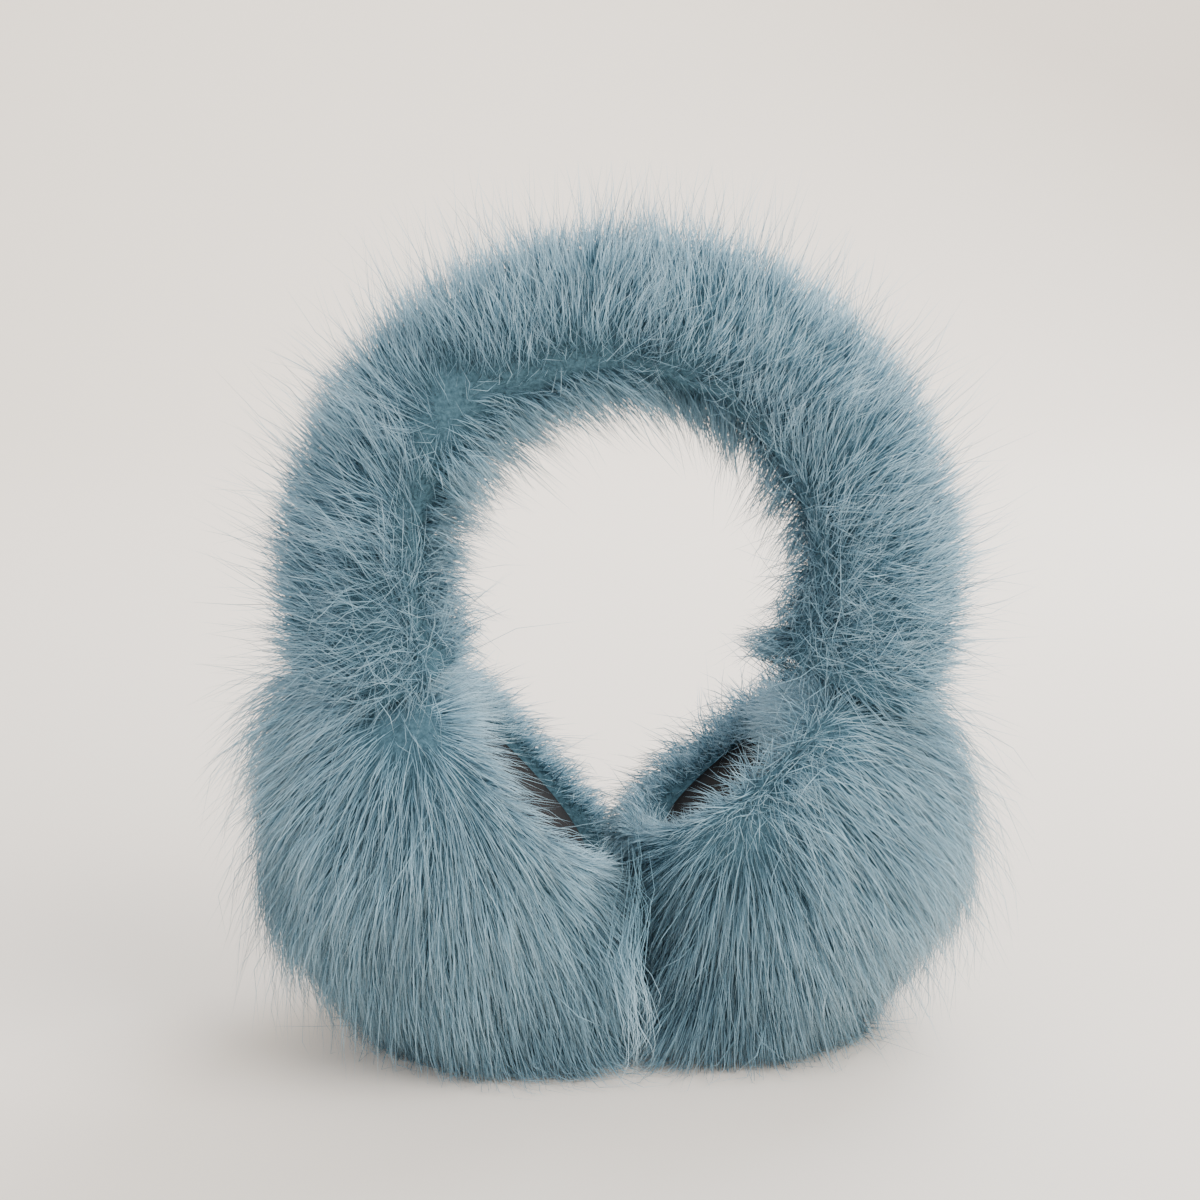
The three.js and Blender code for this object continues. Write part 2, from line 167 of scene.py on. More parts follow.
class EarmuffFur(bpy.types.PropertyGroup):
    """Sizes and colours of the pile."""

    band_pelt_radius: bpy.props.FloatProperty(
        name="Band pelt radius", description="Radius of the headband under its fur, in mm", default=18.5, min=5
    )
    band_pile: bpy.props.FloatProperty(
        name="Band pile", description="Length of the headband's combed pile, in mm", default=23.0, min=2
    )
    cup_pile: bpy.props.FloatProperty(
        name="Cup pile", description="Length of the ear cups' combed pile, in mm", default=30.0, min=2
    )
    guard_share: bpy.props.FloatProperty(
        name="Guard hair share",
        description="Share of strands that stand past the rest",
        default=0.13,
        subtype="FACTOR",
    )
    strand_width: bpy.props.FloatProperty(
        name="Strand width", description="Width of a strand at its root, in mm", default=0.29, min=0.05
    )
    # the root colour is painted shade: it darkens each strand towards its root, and the pelt under the pile more, for
    # the shade deep in the pile
    root_shade_colour: bpy.props.FloatVectorProperty(
        name="Root colour", description="Colour deep in the pile", default=linear("3a5865"), subtype="COLOR"
    )
    mid_colour: bpy.props.FloatVectorProperty(
        name="Mid colour", description="Colour halfway up a strand", default=linear("7ea7ba"), subtype="COLOR"
    )
    tip_colour: bpy.props.FloatVectorProperty(
        name="Tip colour", description="Colour at the strand tips", default=linear("b3d1df"), subtype="COLOR"
    )
    lining_colour: bpy.props.FloatVectorProperty(
        name="Lining colour", description="Colour of the ear lining cloth", default=linear("222224"), subtype="COLOR"
    )


class EarmuffStage(bpy.types.PropertyGroup):
    """The floor, backdrop and lights."""

    floor_colour: bpy.props.FloatVectorProperty(
        name="Floor colour", description="Colour of the plain floor", default=linear("ece6de"), subtype="COLOR"
    )
    wall_colour: bpy.props.FloatVectorProperty(
        name="Backdrop colour", description="Colour of the plain backdrop", default=linear("efe9e3"), subtype="COLOR"
    )
    key_power: bpy.props.FloatProperty(
        name="Key light", description="Power of the window-like key light", default=24.0, min=0, unit="POWER"
    )


# ---- shared shape helpers


def unit(vectors):
    """Scales each row vector to length one."""
    return vectors / np.maximum(np.linalg.norm(vectors, axis=-1, keepdims=True), 1e-9)


def waves(points, wavelength, seed):
    """Smooth noise from -1 to 1: the mean of eight sine waves of random direction, phase and near wavelength."""
    rng = np.random.default_rng(seed)
    directions = unit(rng.normal(size=(8, 3))) * (2 * math.pi / wavelength) * rng.uniform(0.6, 1.5, (8, 1))
    phases = rng.uniform(0, 2 * math.pi, 8)
    return np.sin(points @ directions.T + phases).mean(axis=-1) * 2.2


def ring_frame(theta):
    """For angles along the headband in radians: the centre line point, the outward and the along direction."""
    outward = np.stack([np.cos(theta), np.zeros_like(theta), np.sin(theta)], axis=-1)
    along = np.stack([-np.sin(theta), np.zeros_like(theta), np.cos(theta)], axis=-1)
    centre = outward * RING["radius"] + np.array([RING["x"], 0, RING["z"]])
    return centre, outward, along


def band_surface(radius, rows=150, columns=44):
    """A tube round the ring's arc: centre line + radius * (cos(a) outward + sin(a) towards the front). The radius
    swells by 16% over the last 42 degrees at each end, and by 3.5% in soft lumps."""
    theta = np.radians(np.linspace(RING["start"], RING["end"], rows))
    around = np.linspace(-math.pi, math.pi, columns, endpoint=False)
    centre, outward, _ = ring_frame(theta)
    normal = np.cos(around)[None, :, None] * outward[:, None] + np.sin(around)[None, :, None] * FRONT
    ends = np.clip(1 - np.minimum(theta - theta[0], theta[-1] - theta) / math.radians(42), 0, 1)
    lumps = 1 + 0.035 * waves(centre[:, None] + normal * 20, 34, 5) + 0.16 * ends[:, None]
    return centre[:, None] + normal * (radius * lumps)[..., None]


def cup_axes(cup):
    """The face direction, the direction up the face and the direction across it."""
    tilt = math.radians(cup["tilt"])
    face = np.array([cup["inward"] * math.cos(tilt), 0, math.sin(tilt)])
    up = np.array([-cup["inward"] * math.sin(tilt), 0, math.cos(tilt)])
    return face, up, np.array([0.0, 1.0, 0.0])


def cup_profile(cup):
    """Radius and height about the face axis, from the dome's pole over the rounded rim to the recess floor."""
    dome = np.linspace(0.0, math.pi / 2, DOME_ROWS + 1)[1:]
    shoulder = np.linspace(0.0, math.pi / 2, SHOULDER_ROWS + 1)[1:]
    wall = np.linspace(0.0, 1.0, 7)[1:]
    lip = cup["crest"] - 1.2
    radii = [cup["radius"] * np.sin(dome), cup["crest"] + (cup["radius"] - cup["crest"]) * np.cos(shoulder)]
    heights = [-cup["dome"] * np.cos(dome), cup["face"] * np.sin(shoulder)]
    radii.append(lip + (cup["floor_radius"] - lip) * wall)
    heights.append(cup["face"] - 0.4 + (cup["floor"] - cup["face"] + 0.4) * wall)
    floor_radii = np.linspace(cup["floor_radius"], 0, 9)[1:-1]
    radii.append(floor_radii)
    heights.append(np.full(len(floor_radii), float(cup["floor"])))
    return np.concatenate(radii), np.concatenate(heights)


def settle(points, cup):
    """Lets the lower half sag on the table: heights under the middle stretch down, then press flat near zero.
    The low parts lean towards the other cup and widen from the ball's section to the base radius."""
    middle_height, radius = cup["centre"][2], cup["radius"]
    low = np.clip((middle_height - points[..., 2]) / middle_height, 0, None)
    settled = points.copy()
    settled[..., 2] -= SAG * low * middle_height
    share = np.clip(low / 0.75, 0, 1)
    share = share * share * (3 - 2 * share)
    drop = np.clip(low, 0, 1 / (1 + SAG))
    section = np.sqrt(radius**2 - (drop * middle_height) ** 2)
    middle = np.array(cup["centre"][:2])
    around = np.arctan2(points[..., 1] - middle[1], (points[..., 0] - middle[0]) * cup["inward"])
    base = cup["base"] - cup["tuck"] * np.clip(-np.cos(around), 0, 1)
    wide = base + (radius - base) * (1 - (1 + SAG) * drop)
    spread = np.where(low > 0, np.maximum(wide / section, 1), 1)
    corner = (np.cos(around) ** 4 + np.sin(around) ** 4) ** -0.25
    spread = spread * (1 + share * np.clip(2 * np.cos(around), 0, 1) * (corner - 1))
    settled[..., :2] = middle + (settled[..., :2] - middle) * spread[..., None]
    settled[..., 0] += cup["lean"] * share
    bend = 6
    under = settled[..., 2] < REST_HEIGHT + bend
    soft = REST_HEIGHT + bend * np.exp(np.clip((settled[..., 2] - REST_HEIGHT - bend) / bend, -30, 0))
    settled[..., 2] = np.where(under, soft, settled[..., 2])
    return settled


def cup_surface(cup, columns=72):
    """The cup's profile turned about the face axis, with its rim dipped, its recess hooded and its shoulder and
    soft lumps swelled from the middle, then settled on the table."""
    face, up, across = cup_axes(cup)
    radii, heights = cup_profile(cup)
    around = np.linspace(0, 2 * math.pi, columns, endpoint=False)
    ring = np.cos(around)[:, None] * up + np.sin(around)[:, None] * across
    dip = np.clip(-ring[:, 1], 0, 1) * cup["front_dip"] + np.clip(ring[:, 1], 0, 1) * cup["back_dip"]
    on_rim = np.clip(radii / cup["crest"], 0, 1)[:, None] ** 4 * np.clip(heights / cup["face"], 0, 1)[:, None] ** 2
    raised = heights[:, None] - dip * on_rim
    over_lining = np.where(np.arange(len(radii)) >= WALL_START, np.clip((cup["face"] - heights) / 5, 0, 1), 0)
    top_hood, side_hood = cup["hood"]
    hood = top_hood * np.clip(np.cos(around), 0, 1) ** 2 + side_hood * np.clip(np.sin(around), 0, 1) ** 2
    reach = radii[:, None] * (1 - over_lining[:, None] * hood[None])
    points = np.array(cup["centre"]) + raised[..., None] * face + reach[..., None] * ring[None]
    middle = np.array(cup["centre"])
    direction = unit(points - middle)
    shoulder = unit(np.array([-0.62 * cup["inward"], 0, 0.78]))
    bulge = cup["shoulder"] * np.exp(-((1 - direction @ shoulder) / 0.09))
    lumps = 1 + 0.02 * waves(points, 40, 9) + bulge
    return settle(middle + (points - middle) * lumps[..., None], cup)


def grid_normals(grid, hand):
    """Outward normals of a grid that closes around its columns, from the cross product of its two differences.
    hand is 1 where rows, columns and outward make a left-handed set, and -1 where they make a right-handed one."""
    along = np.gradient(grid, axis=0)
    around = np.roll(grid, -1, axis=1) - np.roll(grid, 1, axis=1)
    return unit(np.cross(around, along)) * hand


def grid_object(name, grid, material):
    """A closed mesh from rows of points: quads between rows, wrapped around the columns, and a pole at each end."""
    rows, columns = grid.shape[:2]
    poles = np.stack([grid[0].mean(axis=0), grid[-1].mean(axis=0)])
    vertices = np.concatenate([grid.reshape(-1, 3), poles]) * MM
    i, j = np.meshgrid(np.arange(rows - 1), np.arange(columns), indexing="ij")
    a, b = (i * columns + j).ravel(), (i * columns + (j + 1) % columns).ravel()
    quads = np.stack([a, b, b + columns, a + columns], axis=1)
    j = np.arange(columns)
    first = np.stack([np.full(columns, rows * columns), (j + 1) % columns, j], axis=1)
    last_row = (rows - 1) * columns
    last = np.stack([np.full(columns, rows * columns + 1), last_row + j, last_row + (j + 1) % columns], axis=1)
    faces = quads.tolist() + first.tolist() + last.tolist()
    mesh = bpy.data.meshes.new(name)
    mesh.from_pydata(vertices.tolist(), [], faces)
    mesh.materials.append(material)
    mesh.polygons.foreach_set("use_smooth", np.ones(len(mesh.polygons), dtype=bool))
    piece = bpy.data.objects.new(name, mesh)
    bpy.context.scene.collection.objects.link(piece)
    return piece


def outward(piece):
    """Turns the faces of a closed piece to point out where its signed volume is negative."""
    mesh = piece.data
    mesh.calc_loop_triangles()
    points = np.empty(len(mesh.vertices) * 3)
    mesh.vertices.foreach_get("co", points)
    corners = np.empty(len(mesh.loop_triangles) * 3, dtype=np.int32)
    mesh.loop_triangles.foreach_get("vertices", corners)
    a, b, c = np.moveaxis(points.reshape(-1, 3)[corners.reshape(-1, 3)], 1, 0)
    if np.einsum("ij,ij->i", a, np.cross(b, c)).sum() < 0:
        mesh.flip_normals()
    return piece


def scatter(grid, normals, count, rng, keep):
    """Picks roots on a grid surface, evenly by area. keep weighs each cell. Returns points and normals."""
    nxt = np.roll(grid, -1, axis=1)
    area = np.linalg.norm(np.cross(nxt[:-1] - grid[:-1], grid[1:] - grid[:-1]), axis=-1)
    middle = (grid[:-1] + grid[1:] + nxt[:-1] + nxt[1:]) / 4
    weight = area * keep(middle)
    cells = rng.choice(weight.size, size=count, p=(weight / weight.sum()).ravel())
    i, j = np.unravel_index(cells, weight.shape)
    k = (j + 1) % grid.shape[1]
    s, t = rng.random(count)[:, None], rng.random(count)[:, None]

    def mix(values):
        near = values[i, j] * (1 - t) + values[i, k] * t
        far = values[i + 1, j] * (1 - t) + values[i + 1, k] * t
        return near * (1 - s) + far * s

    return mix(grid), unit(mix(normals))


def comb(roots, first, last, length, steps, rng):
    """Centre lines that start along first and end along last: root + length * (first s + (last - first) s^2 / 2),
    with a slight sway of length * 0.05 sin(0.9 pi s) to a random side."""
    s = np.linspace(0, 1, steps + 1)[None, :, None]
    path = roots[:, None] + length[:, None, None] * (first[:, None] * s + (last - first)[:, None] * s**2 / 2)
    sway = rng.normal(0, 0.05, (len(roots), 1, 3)) * np.sin(math.pi * s * 0.9)
    return path + length[:, None, None] * sway


def disturb(roots, normal):
    """Where the pile is disturbed: the flow away from each star along the surface, and how tangled it is."""
    flow, tangle = np.zeros_like(roots), np.zeros((len(roots), 1))
    for centre, reach, outward_flow, knot in STARS:
        offset = roots - np.array(centre)
        near = np.exp(-((offset**2).sum(axis=-1, keepdims=True) / reach**2))
        away = offset - (offset * normal).sum(axis=-1, keepdims=True) * normal
        flow += outward_flow * near * unit(away)
        tangle += knot * near
    return flow, tangle


def trim(path):
    """Shortens each strand towards its root until it stays in the box that proud fabric may fill."""
    low, high = np.array(CAD_BOX[0]) / MM, np.array(CAD_BOX[1]) / MM
    proud = PROUD_SHARE * (high - low) + PROUD_MARGIN
    root, offset = path[:, :1], path - path[:, :1]
    room = np.where(offset > 0, high + proud - root, root - (low - proud))
    share = np.where(np.abs(offset) > 1e-6, room / np.maximum(np.abs(offset), 1e-6), 1.0)
    share[..., 2] = np.where(offset[..., 2] < 0, 1.0, share[..., 2])
    return root + offset * np.clip(share.min(axis=(1, 2)), 0.05, 1)[:, None, None]


def clump(path, rng, per_clump, pull):
    """Draws each strand's outer part towards the nearest guide strand, more towards the tip."""
    count, points = path.shape[:2]
    guides = rng.choice(count, size=max(count // per_clump, 1), replace=False)
    nearest = np.empty(count, dtype=int)
    for start in range(0, count, 2000):
        part = path[start : start + 2000, 0]
        gap = ((part[:, None] - path[guides, 0][None]) ** 2).sum(axis=-1)
        nearest[start : start + 2000] = guides[gap.argmin(axis=1)]
    share = (np.linspace(0, 1, points) ** 1.4)[None, :, None] * pull[:, None, None]
    return path + (path[nearest] - path) * share, nearest


def above_floor(path, rng):
    """Bends what would pass through the table so that it lies on it, a little scattered in height."""
    lowest = rng.uniform(0.4, 2.2, (len(path), 1))
    path[..., 2] = np.where(path[..., 2] < lowest, lowest + 0.02 * np.abs(path[..., 2]), path[..., 2])
    return path


def strand_object(name, path, width, tone, material):
    """Joined three-sided tapering strands. Ring k holds three points at the strand's half width times its taper,
    and the last point is the tip. The strand's own map holds its tone across and its length from root to tip."""
    count, points = path.shape[:2]
    rings = points - 1
    mean = unit(path[:, -1] - path[:, 0])
    helper = np.where(np.abs(mean[:, 2:3]) > 0.8, np.array([[1.0, 0, 0]]), np.array([[0, 0, 1.0]]))
    side = unit(np.cross(mean, helper))
    rise = np.cross(side, mean)
    share = np.arange(rings) / rings
    taper = 1.0 - 0.35 * share
    half = width[:, None] * 0.5 * taper[None]
    turn = np.radians([90.0, 210.0, 330.0])
    sideways = np.cos(turn)[None, None, :, None] * side[:, None, None]
    spokes = sideways + np.sin(turn)[None, None, :, None] * rise[:, None, None]
    body = path[:, :rings, None] + spokes * half[:, :, None, None]
    vertices = np.concatenate([body.reshape(count, rings * 3, 3), path[:, -1:]], axis=1)
    faces = [[0, 1, 2]]
    levels = [[0, 0, 0]]
    for k in range(rings - 1):
        for c in range(3):
            d = (c + 1) % 3
            faces += [[3 * k + c, 3 * k + 3 + d, 3 * k + d], [3 * k + c, 3 * k + 3 + c, 3 * k + 3 + d]]
            levels += [[k, k + 1, k], [k, k + 1, k + 1]]
    top = 3 * (rings - 1)
    for c in range(3):
        faces.append([top + c, top + 3, top + (c + 1) % 3])
        levels.append([rings - 1, rings, rings - 1])
    faces, levels = np.array(faces), np.array(levels, dtype=float) / rings
    per_strand = rings * 3 + 1
    corners = (faces[None] + (np.arange(count) * per_strand)[:, None, None]).ravel()
    mesh = bpy.data.meshes.new(name)
    mesh.vertices.add(count * per_strand)
    mesh.vertices.foreach_set("co", (vertices * MM).ravel())
    total = count * len(faces)
    mesh.loops.add(total * 3)
    mesh.loops.foreach_set("vertex_index", corners)
    mesh.polygons.add(total)
    mesh.polygons.foreach_set("loop_start", np.arange(total) * 3)
    mesh.polygons.foreach_set("use_smooth", np.ones(total, dtype=bool))
    across = np.tile(np.array([0.0, 0.5, 1.0]), len(faces))[None] * 0.004
    u = np.clip(tone, 0.01, 0.985)[:, None] + across
    v = 0.02 + 0.96 * np.tile(levels.ravel(), (count, 1))
    uv_map = mesh.uv_layers.new(name="OFBake")
    uv_map.data.foreach_set("uv", np.stack([u, v], axis=-1).ravel())
    mesh.materials.append(material)
    mesh.update(calc_edges=True)
    mesh.validate()
    piece = bpy.data.objects.new(name, mesh)
    bpy.context.scene.collection.objects.link(piece)
    return piece


# ---- materials


def add_node(material, kind, inputs=None, links=None, **settings):
    """Adds one node, sets its attributes and input values, and links inputs from other nodes' outputs."""
    node = material.node_tree.nodes.new(kind)
    for key, value in settings.items():
        setattr(node, key, value)
    for key, value in (inputs or {}).items():
        node.inputs[key].default_value = value
    for key, (source, output) in (links or {}).items():
        material.node_tree.links.new(source.outputs[output], node.inputs[key])
    return node


def new_material(name):
    """Makes a material with an empty node tree."""
    material = bpy.data.materials.new(name)
    material.use_nodes = True
    material.node_tree.nodes.clear()
    return material


def finish_material(material, shader):
    """Links the shader to the material's output."""
    out = add_node(material, "ShaderNodeOutputMaterial")
    material.node_tree.links.new(shader.outputs[0], out.inputs["Surface"])
    return material


def set_ramp(node, stops):
    """Gives a colour ramp its stops, as position and colour."""
    ramp = node.color_ramp
    while len(ramp.elements) > 1:
        ramp.elements.remove(ramp.elements[-1])
    ramp.elements[0].position = stops[0][0]
    ramp.elements[0].color = (*stops[0][1], 1)
    for position, colour in stops[1:]:
        ramp.elements.new(position).color = (*colour, 1)


def pile_material(fur):
    """Modacrylic long pile: dyed and combed extruded fibres with a satin gloss, darkened towards the root as painted
    shade deep in the pile, pale at the tip.
    """
    material = new_material("modacrylic_long_pile")
    own = add_node(material, "ShaderNodeUVMap", uv_map="OFBake")
    parts = add_node(material, "ShaderNodeSeparateXYZ", links={"Vector": (own, "UV")})
    length = add_node(material, "ShaderNodeValToRGB", links={"Fac": (parts, "Y")})
    root, mid, tip = (tuple(c) for c in (fur.root_shade_colour, fur.mid_colour, fur.tip_colour))
    # the root end of this ramp is painted shade deep in the pile
    set_ramp(length, [(0.0, root), (0.42, mid), (1.0, tip)])
    tone = add_node(material, "ShaderNodeValToRGB", links={"Fac": (parts, "X")})
    set_ramp(tone, [(0.0, (0.38, 0.42, 0.45)), (0.5, (0.9, 0.92, 0.94)), (1.0, (1.55, 1.5, 1.48))])
    colour = add_node(
        material,
        "ShaderNodeMix",
        data_type="RGBA",
        blend_type="MULTIPLY",
        inputs={0: 1.0},
        links={6: (length, "Color"), 7: (tone, "Color")},
    )
    shader = add_node(
        material,
        "ShaderNodeBsdfPrincipled",
        distribution="GGX",
        inputs={"Roughness": 0.5, "Specular IOR Level": 0.45},
        links={"Base Color": (colour, 2)},
    )
    return finish_material(material, shader)


def pelt_material(fur):
    """Dense short underfur on its knitted backing: matt, and dark as painted shade under the pile, with a grain about
    1 mm wide.
    """
    material = new_material("dense_underfur")
    place = add_node(material, "ShaderNodeTexCoord")

    # a noise scale counts spots a metre, so 900 puts them 1.1 mm apart
    grain = add_node(
        material,
        "ShaderNodeTexNoise",
        inputs={"Scale": 900.0, "Detail": 3.0, "Roughness": 0.65},
        links={"Vector": (place, "Object")},
    )
    ramp = add_node(material, "ShaderNodeValToRGB", links={"Fac": (grain, "Fac")})
    # painted shade: the underfur is darker than the strands' roots, for the shade under the pile
    root, mid = tuple(fur.root_shade_colour), tuple(fur.mid_colour)
    set_ramp(ramp, [(0.3, tuple(c * 0.8 for c in root)), (0.7, tuple(0.7 * a + 0.3 * b for a, b in zip(root, mid)))])
    bump = add_node(
        material, "ShaderNodeBump", inputs={"Strength": 0.8, "Distance": 0.0008}, links={"Height": (grain, "Fac")}
    )
    shader = add_node(
        material,
        "ShaderNodeBsdfPrincipled",
        inputs={"Roughness": 0.95, "Specular IOR Level": 0.1},
        links={"Base Color": (ramp, "Color"), "Normal": (bump, "Normal")},
    )
    return finish_material(material, shader)


def lining_material(fur):
    """Polyester lining jersey, brushed: dark charcoal, with 1.4 mm knit rows under a soft nap."""
    material = new_material("brushed_polyester_jersey")
    place = add_node(material, "ShaderNodeTexCoord")

    # a wave texture's rows are 2 pi / 20 / scale apart: 1.4 mm, drawn coarser than real knit so that it shows
    knit = add_node(
        material,
        "ShaderNodeTexWave",
        inputs={"Scale": 230.0, "Distortion": 1.5, "Detail": 2.0, "Detail Scale": 3.0},
        links={"Vector": (place, "Object")},
    )
    # the nap's hairs are 0.7 mm apart, and the cloth's soft clouds 17 mm
    nap = add_node(
        material, "ShaderNodeTexNoise", inputs={"Scale": 1400.0, "Detail": 3.0}, links={"Vector": (place, "Object")}
    )
    cloud = add_node(
        material, "ShaderNodeTexNoise", inputs={"Scale": 60.0, "Detail": 2.0}, links={"Vector": (place, "Object")}
    )
    colour = add_node(material, "ShaderNodeValToRGB", links={"Fac": (cloud, "Fac")})
    base = tuple(fur.lining_colour)
    set_ramp(colour, [(0.3, tuple(c * 0.8 for c in base)), (0.7, tuple(c * 1.2 for c in base))])
    height = add_node(
        material, "ShaderNodeMix", data_type="FLOAT", inputs={0: 0.5}, links={2: (knit, "Fac"), 3: (nap, "Fac")}
    )
    bump = add_node(
        material, "ShaderNodeBump", inputs={"Strength": 0.5, "Distance": 0.0003}, links={"Height": (height, 0)}
    )
    shader = add_node(
        material,
        "ShaderNodeBsdfPrincipled",
        inputs={"Roughness": 0.9, "Specular IOR Level": 0.1},
        links={"Base Color": (colour, "Color"), "Normal": (bump, "Normal")},
    )
    return finish_material(material, shader)


def stage_material(name, colour):
    """Matt painted board with a faint mottling, so that the floor isn't one flat colour."""
    material = new_material(name)
    place = add_node(material, "ShaderNodeTexCoord")
    mottle = add_node(material, "ShaderNodeTexNoise", inputs={"Scale": 9.0}, links={"Vector": (place, "Object")})
    ramp = add_node(material, "ShaderNodeValToRGB", links={"Fac": (mottle, "Fac")})
    set_ramp(ramp, [(0.2, tuple(c * 0.985 for c in colour)), (0.8, tuple(colour))])
    shader = add_node(
        material, "ShaderNodeBsdfPrincipled", inputs={"Roughness": 0.9}, links={"Base Color": (ramp, "Color")}
    )
    return finish_material(material, shader)


def shared(name, maker, fur):
    """Makes a material once and gives it again to the next piece that asks for it."""
    return bpy.data.materials.get(name) or maker(fur)


# ---- fur fields


def band_fur(name, half, counts, fur, material, seed):
    """Fur on the front or back half of the headband. A strand outside the parting line is combed from the parting
    towards the ring's outside. One inside it stands into the hole, leans back along the tube and droops."""
    rng = np.random.default_rng(seed)
    grid = band_surface(fur.band_pelt_radius)
    normals = grid_normals(grid, -1)
    middle = np.array([RING["x"], 0, RING["z"]])

    def keep(points):
        """Keeps one half of the tube, and more of its inner side."""
        reach = np.hypot(*np.moveaxis((points - middle)[..., ::2], -1, 0))
        dense = np.where(reach < RING["radius"] - INNER_SIDE, INNER_DENSITY, 1)
        return np.clip(0.5 - half * points[..., 1] * 0.5, 0, 1) * dense

    pieces = []
    for label, (count, steps, width_share) in counts.items():
        roots, normal = scatter(grid, normals, count, rng, keep)
        flat = roots - middle
        theta = np.arctan2(flat[:, 2], flat[:, 0])
        centre, out, along = ring_frame(theta)
        around = np.arctan2((roots - centre) @ FRONT, ((roots - centre) * out).sum(axis=-1))
        turn = np.abs(around)
        degrees = np.degrees(theta) % 360
        degrees = np.where(degrees > 300, degrees - 360, degrees)
        parting = np.radians(np.interp(degrees, *zip(*PARTING)))
        parting = parting + 0.06 * waves(centre, 50, 3) + 0.08 * waves(centre + normal * 9, 15, 4)
        outer = (turn + rng.normal(0, 0.07, count) < parting)[:, None]
        share = np.clip(turn / parting, 0, 1)[:, None]
        toward = out * np.abs(np.sin(around))[:, None] - FRONT * (np.cos(around) * np.sign(around))[:, None]

        # the combed hair outside the parting stands up near it and lies flatter further out
        combed_up = 0.36 * np.cos(theta)
        lean = (combed_up + 0.2 * waves(centre + normal * 12, 26, seed + 1) + rng.normal(0, 0.09, count))[:, None]
        lift_first = 0.98 - 0.5 * share
        lift_last = 0.9 - 1.05 * share
        first = normal * lift_first + toward * np.sqrt(1 - lift_first**2) + along * lean
        last = normal * lift_last + toward * (0.25 + 0.75 * share) + along * (lean * 1.5)

        # the hair inside it stands into the hole, and leans along the tube most at the crown
        crown = np.exp(-(((degrees - 90) / 32) ** 2))[:, None]
        drift = 0.35 * waves(centre + normal * 12, 30, seed + 2)[:, None]
        inward = normal * 0.66 - toward * (0.36 + drift) - along * (0.22 + 0.55 * crown)
        inward_last = inward - normal * 0.3 + toward * 0.1 + np.array([0, 0, -0.4])
        first = np.where(outer, first, inward)
        last = np.where(outer, last, inward_last)

        # it is looser at the ring's ends, at the parting and at the stars
        ends = np.clip(1 - np.minimum(degrees - RING["start"], RING["end"] - degrees) / 34, 0, 1)[:, None]
        star_flow, knot = disturb(roots, normal)
        first, last = first + star_flow, last + star_flow
        scatter_vector = rng.normal(0, 1, (count, 3))
        scatter_vector -= 0.75 * (scatter_vector * normal).sum(axis=-1, keepdims=True) * normal
        scatter_vector *= np.where(rng.random(count) < 0.1, 2.5, 1.0)[:, None]
        near_parting = np.exp(-(((turn - parting) / 0.3) ** 2))[:, None]
        first = unit(first + scatter_vector * (0.09 + 0.22 * ends + 0.1 * near_parting + knot))
        loose_end = scatter_vector * (0.13 + 0.25 * ends + 0.12 * near_parting + knot)
        last = unit(last + loose_end + np.array([0, 0, -0.1]))

        length = fur.band_pile * np.where(outer[:, 0], 0.5 + 0.62 * share[:, 0], 0.78)
        length = length * rng.uniform(0.7, 1.22, count)
        length = length * np.where(outer[:, 0], 1, 1 + 0.25 * waves(roots, 13, 17))
        length = length * (DOWN_LENGTH if steps == 1 else 1.0)
        guard = (rng.random(count) < fur.guard_share * (1 + 0.6 * np.clip(np.sin(theta), 0, 1))) & (steps > 1)
        reach = np.where(outer[:, 0], rng.uniform(1.3, 2.4, count), rng.uniform(1.1, 1.6, count))
        length = np.where(guard, length * reach, length)
        first = np.where(guard[:, None], unit(first + normal * 0.3), first)
        last = np.where(guard[:, None], unit(last + normal * 0.25), last)
        path = comb(roots - normal * ROOT_DEPTH, first, last, length, steps, rng)
        pull = np.where(outer[:, 0], rng.uniform(0.0, 0.42, count), rng.uniform(0.1, 0.7, count))
        pull = pull * np.where(guard, 0.2, 1)
        path, nearest = clump(path, rng, LOCK_SIZE, pull)
        path = trim(path)

        # locks differ in tone, and painted shade darkens the parting and the tangles
        tone = 0.5 + 0.07 * waves(roots, 22, seed + 3) + rng.normal(0, 0.16, count)
        tone += 0.08 * rng.normal(0, 1, count)[nearest]
        tone -= 0.2 * np.exp(-(((turn - parting) / 0.14) ** 2)) + 0.12 * np.clip(knot[:, 0], 0, 1)
        width = fur.strand_width * width_share * rng.uniform(0.7, 1.2, count) * np.where(guard, GUARD_WIDTH, 1)
        pieces.append(strand_object(f"{name}_{label}", path, width, tone, material))
    if half < 0:
        pieces.append(tuft("ring_tuft", (50.0, -3.0, 113.0), (35.0, -6.0, 119.0), fur, material))
    return join(name, pieces)


def whorl_flow(roots, normal, cup, seed):
    """The comb direction along a cup's surface, away from the whorl line and a little down, with slow waves in it,
    and the distance to that line. The back has the line mirrored, and the two blend across a wavy seam."""
    start, end = (np.array(point) for point in cup["whorl"])
    seam = roots[:, 1] + 9 * waves(roots, 45, seed + 5)
    blend = np.clip(0.5 + seam[:, None] / 40, 0, 1)
    away, distance = np.zeros_like(roots), np.full(len(roots), np.inf)
    for mirror, weight in ((1, 1 - blend), (-1, blend)):
        flip = np.array([1, mirror, 1])
        ridge = (end - start) * flip
        along = np.clip((roots - start * flip) @ ridge / (ridge @ ridge), 0, 1)[:, None]
        offset = roots - (start * flip + along * ridge)
        away += unit(offset) * weight
        distance = np.minimum(distance, np.linalg.norm(offset, axis=-1))
    drift = np.stack([waves(roots, 38, seed + k) for k in (1, 2, 3)], axis=-1)
    flow = away + np.array([0, 0, -0.35]) + 0.16 * drift
    return unit(flow - (flow * normal).sum(axis=-1, keepdims=True) * normal), distance


